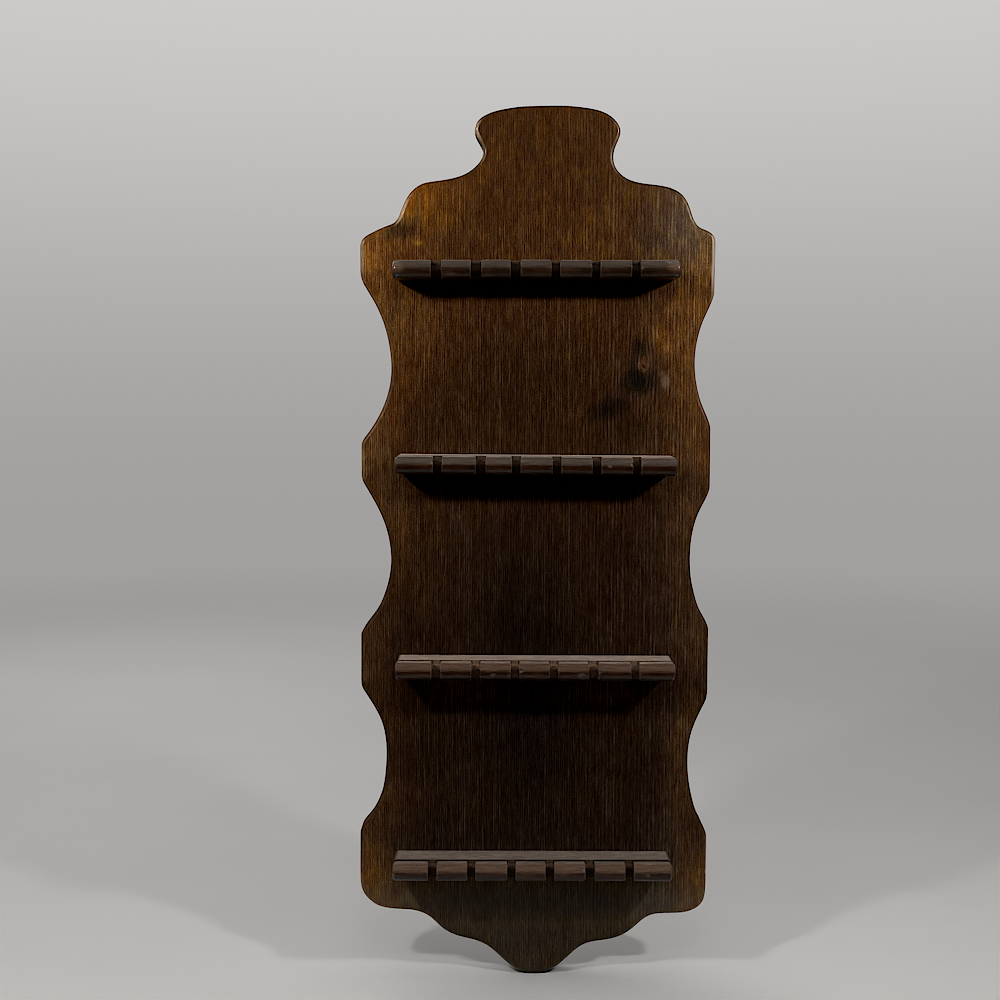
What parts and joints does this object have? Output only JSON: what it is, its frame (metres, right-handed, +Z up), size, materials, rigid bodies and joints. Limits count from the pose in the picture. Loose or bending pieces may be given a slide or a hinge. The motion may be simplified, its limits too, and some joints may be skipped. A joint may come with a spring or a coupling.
{
  "type": "wall spoon rack",
  "caption": "Wall-hung wooden rack for small collector spoons: a scalloped plank with notched rails across its front and a toothed hanger on its back.",
  "frame": {"origin": "on the plane of the plank's back, at the hanger's middle notch, where the wall nail bears", "axes": "+Z up the wall, +X to the right as the rack is faced, -Y out of the wall"},
  "size_m": [0.2247, 0.0482, 0.5526],
  "materials": {
    "board_wood": "dark walnut stain over brushed grain, satin",
    "rail_wood": "darker walnut stain, satin",
    "screw_steel": "dull zinc, slightly tarnished",
    "hanger_steel": "stamped strip with a thin yellowed plating",
    "nail_steel": "bright wire nail, dulled"
  },
  "bodies": {
    "root": {"back_board": "board_wood", "top_rail": "rail_wood", "upper_middle_rail": "rail_wood", "lower_middle_rail": "rail_wood", "bottom_rail": "rail_wood", "rail_screws": "screw_steel", "sawtooth_hanger": "hanger_steel", "hanger_nails": "nail_steel"}
  },
  "joints": []
}
